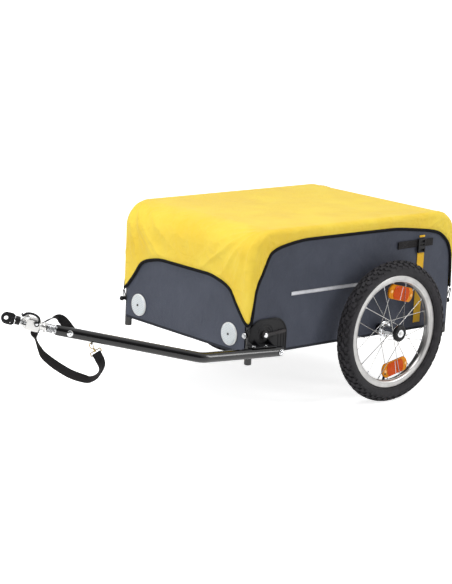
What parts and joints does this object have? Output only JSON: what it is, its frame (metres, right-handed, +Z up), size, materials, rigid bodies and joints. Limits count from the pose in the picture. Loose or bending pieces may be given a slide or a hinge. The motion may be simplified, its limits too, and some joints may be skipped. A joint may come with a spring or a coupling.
{
  "type": "bicycle cargo trailer",
  "caption": "Two-wheeled bicycle cargo trailer: box-shaped fabric tub in a tube frame, rain cover, side drawbar with sprung coupling, eye plate and safety strap.",
  "frame": {"origin": "middle of the bounding box in plan, on the ground that the tyres stand on", "axes": "+X forward, to the bicycle's end of the drawbar; +Y to the trailer's left, the side that the drawbar is on; +Z up"},
  "size_m": [1.4129, 0.7284, 0.5097],
  "materials": {
    "frame_black": "gloss black powder coat",
    "floor_board": "matte",
    "panel_fabric": "coated slate grey fabric",
    "cover_fabric": "coated yellow fabric",
    "elastic": "black elastic",
    "white_reflector": "reflector lens",
    "red_reflector": "reflector lens",
    "orange_reflector": "reflector lens",
    "tyre": "matte black rubber",
    "alloy": "satin",
    "steel": "zinc plated",
    "black_plastic": "moulded black",
    "dark_grey": "moulded dark grey",
    "white_plastic": "gloss white",
    "webbing": "woven polyester webbing"
  },
  "bodies": {
    "frame": {"left_hoop": "frame_black", "right_hoop": "frame_black", "front_top_bar": "frame_black", "rear_top_bar": "frame_black", "front_floor_bar": "frame_black", "rear_floor_bar": "frame_black", "left_floor_rail": "frame_black", "right_floor_rail": "frame_black", "floor_board": "floor_board", "left_panel": "panel_fabric", "right_panel": "panel_fabric", "front_panel": "panel_fabric", "rear_panel": "panel_fabric", "knob_front_left": "steel", "knob_front_right": "black_plastic", "knob_rear_left": "black_plastic", "knob_rear_right": "black_plastic", "elastic_tie_front_left": "elastic", "elastic_tie_front_right": "elastic", "elastic_tie_rear_left": "elastic", "elastic_tie_rear_right": "elastic", "front_reflector_left": "white_reflector", "front_reflector_right": "white_reflector", "rear_reflector_left": "red_reflector", "rear_reflector_right": "red_reflector", "left_buckle": "black_plastic", "right_buckle": "black_plastic", "drawbar_mount_plate": "black_plastic", "pivot_bolt": "steel"},
    "cover": {"rain_cover": "cover_fabric", "elastic_hem": "elastic"},
    "left_axle": {"left_stub_axle": "steel"},
    "left_button": {"left_axle_button": "white_plastic"},
    "left_wheel": {"left_tyre": "tyre", "left_rim": "alloy", "left_hub": "steel", "left_hub_cap": "black_plastic", "left_spoke_reflector_upper": "orange_reflector", "left_spoke_reflector_lower": "orange_reflector"},
    "right_axle": {"right_stub_axle": "steel"},
    "right_button": {"right_axle_button": "white_plastic"},
    "right_wheel": {"right_tyre": "tyre", "right_rim": "alloy", "right_hub": "steel", "right_hub_cap": "black_plastic", "right_spoke_reflector_upper": "orange_reflector", "right_spoke_reflector_lower": "orange_reflector"},
    "lever": {"lock_lever": "dark_grey"},
    "drawbar": {"drawbar_tube": "frame_black", "spring_plug": "steel", "strap_bolt": "steel", "coupling_spring": "steel", "safety_strap": "webbing", "strap_ring": "steel", "snap_hook": "steel"},
    "gate": {"hook_gate": "steel"},
    "coupling": {"coupling_body": "alloy"},
    "bail": {"latch_bail": "black_plastic"},
    "stem": {"hitch_stem": "black_plastic"},
    "eye": {"hitch_eye": "black_plastic"}
  },
  "joints": [
    {"name": "cover_lift", "type": "slide", "parent": "frame", "child": "cover", "axis": [0, 0, 1], "range_m": [0, 0.45]},
    {"name": "left_axle_release", "type": "slide", "parent": "frame", "child": "left_axle", "axis": [0, 1, 0], "range_m": [0, 0.06]},
    {"name": "left_button_press", "type": "slide", "parent": "left_axle", "child": "left_button", "axis": [0, -1, 0], "range_m": [0, 0.003], "stiffness_N_per_m": 1000, "springref_m": -0.002},
    {"name": "left_wheel_spin", "type": "hinge", "parent": "left_axle", "child": "left_wheel", "pos_m": [-0.406, 0.3224, 0.199], "axis": [0, 1, 0], "continuous": true},
    {"name": "right_axle_release", "type": "slide", "parent": "frame", "child": "right_axle", "axis": [0, -1, 0], "range_m": [0, 0.06]},
    {"name": "right_button_press", "type": "slide", "parent": "right_axle", "child": "right_button", "axis": [0, 1, 0], "range_m": [0, 0.003], "stiffness_N_per_m": 1000, "springref_m": -0.002},
    {"name": "right_wheel_spin", "type": "hinge", "parent": "right_axle", "child": "right_wheel", "pos_m": [-0.406, -0.3224, 0.199], "axis": [0, 1, 0], "continuous": true},
    {"name": "lock_lever_lift", "type": "hinge", "parent": "frame", "child": "lever", "pos_m": [0.026, 0.2795, 0.23], "axis": [0, 1, 0], "range_deg": [0, 80]},
    {"name": "drawbar_fold", "type": "hinge", "parent": "frame", "child": "drawbar", "pos_m": [-0.005, 0.2994, 0.187], "axis": [0, 1, 0], "range_deg": [0, 140]},
    {"name": "hook_gate_open", "type": "hinge", "parent": "drawbar", "child": "gate", "pos_m": [0.50414, 0.1664, 0.23218], "axis": [0.4754, 0.8798, 0], "range_deg": [0, 11], "stiffness_Nm_per_rad": 0.002, "springref_deg": -11.46},
    {"name": "hitch_flex", "type": "hinge", "parent": "drawbar", "child": "coupling", "pos_m": [0.60276, 0.11304, 0.28271], "axis": [0.4788, 0.8779, 0], "range_deg": [-20, 20], "stiffness_Nm_per_rad": 30, "deforming": ["coupling_spring"]},
    {"name": "latch_bail_lift", "type": "hinge", "parent": "coupling", "child": "bail", "pos_m": [0.63435, 0.09581, 0.29779], "axis": [-0.4788, -0.8779, 0], "range_deg": [0, 70]},
    {"name": "ball_swing", "type": "hinge", "parent": "coupling", "child": "stem", "pos_m": [0.65677, 0.08358, 0.29842], "axis": [-0.2172, 0.1185, 0.9689], "range_deg": [-20, 20]},
    {"name": "eye_roll", "type": "hinge", "parent": "stem", "child": "eye", "pos_m": [0.6805, 0.07063, 0.30533], "axis": [0.8506, -0.464, 0.2475], "range_deg": [-45, 45]}
  ]
}
